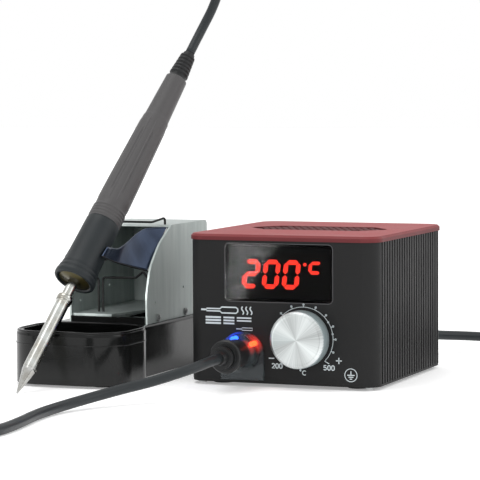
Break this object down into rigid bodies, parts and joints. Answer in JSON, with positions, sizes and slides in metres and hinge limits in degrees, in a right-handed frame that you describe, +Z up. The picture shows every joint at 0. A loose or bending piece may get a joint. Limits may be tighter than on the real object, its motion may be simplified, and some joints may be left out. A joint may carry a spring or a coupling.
{
  "type": "soldering iron station",
  "caption": "Temperature-controlled soldering station with a ribbed metal case, red lid, lit display and knob, with its iron resting in a folded-sheet bench stand.",
  "frame": {"origin": "on the bench, under the middle of the box round the station, the stand and the iron, without the free cords", "axes": "+Z up, the station's front panel faces -Y, and the stand is on the -X side of the station"},
  "size_m": [0.3809, 0.4961, 0.2902],
  "materials": {
    "case_black": "fine satin powder coat",
    "lid_red": "fine matt red coat",
    "screw_steel": "zinc-plated",
    "foot_rubber": "matt rubber",
    "window_tint": "glossy tinted acrylic",
    "digit_red": "lit red segments",
    "module_black": "matt black",
    "board_green": "solder mask",
    "knob_aluminium": "spun face",
    "clear_plastic": "clear gloss",
    "lamp_blue": "lit blue lamp",
    "lamp_red": "lit red lamp",
    "black_plastic": "moulded black",
    "copper_wire": "enamelled copper",
    "core_steel": "laminated steel",
    "heat_aluminium": "extruded",
    "capacitor_sleeve": "shrink sleeve",
    "tip_chrome": "polished plate",
    "barrel_steel": "drawn stainless",
    "ceramic_white": "fired ceramic",
    "collar_rubber": "satin dark rubber",
    "handle_grey": "satin grey moulding",
    "boot_black": "satin black rubber",
    "base_black": "gloss black",
    "galvanised": "galvanised sheet",
    "cradle_steel": "polished spring sheet",
    "wire_black": "black spring wire",
    "cable_black": "satin cable jacket",
    "blade_brass": "plated blades"
  },
  "bodies": {
    "station": {"case_shell": "case_black", "top_lid": "lid_red", "bottom_plate": "case_black", "case_screws": "screw_steel", "rubber_feet": "foot_rubber", "display_window": "window_tint", "display_module": "module_black", "display_digits": "digit_red", "display_board": "board_green", "potentiometer": "black_plastic", "pot_nut": "screw_steel", "socket_bezel": "clear_plastic", "blue_led": "lamp_blue", "red_led": "lamp_red", "iron_socket": "black_plastic", "socket_nut": "screw_steel", "iron_plug": "black_plastic", "control_board": "board_green", "board_standoffs": "screw_steel", "smoothing_capacitors": "capacitor_sleeve", "heat_sink": "heat_aluminium", "transformer_core": "core_steel", "transformer_windings": "copper_wire", "switch_housing": "black_plastic", "fuse_holder": "black_plastic", "fuse_cap": "black_plastic", "mains_strain_relief": "boot_black", "stand_base": "base_black", "stand_feet": "foot_rubber", "stand_bracket": "galvanised", "bracket_screws": "screw_steel", "cradle_sheet": "cradle_steel", "front_wire": "wire_black", "rear_wire": "wire_black", "top_wire": "wire_black", "iron_cable_run": "cable_black", "iron_cable_tail": "cable_black", "iron_cable_coil": "cable_black", "mains_cord_run": "cable_black", "mains_cord_coil": "cable_black", "mains_cord_tail": "cable_black", "mains_plug": "black_plastic", "plug_blades": "blade_brass"},
    "knob": {"knob": "knob_aluminium", "pot_shaft": "screw_steel"},
    "power_rocker": {"switch_rocker": "black_plastic"},
    "iron": {"iron_tip": "tip_chrome", "tip_barrel": "barrel_steel", "barrel_nut": "barrel_steel", "heater_element": "ceramic_white", "front_collar": "collar_rubber", "handle_shell": "handle_grey", "handle_board": "board_green", "iron_strain_relief": "boot_black", "iron_cable_arch": "cable_black"}
  },
  "joints": [
    {"name": "knob_turn", "type": "hinge", "parent": "station", "child": "knob", "pos_m": [0.0626, -0.03005, 0.029], "axis": [0, 1, 0], "range_deg": [0, 270]},
    {"name": "power_rocker_tilt", "type": "hinge", "parent": "station", "child": "power_rocker", "pos_m": [0.0186, 0.09345, 0.06], "axis": [1, 0, 0], "range_deg": [-16, 0]},
    {"name": "iron_lift", "type": "slide", "parent": "station", "child": "iron", "axis": [0, 0, 1], "range_m": [0, 0.08]}
  ]
}
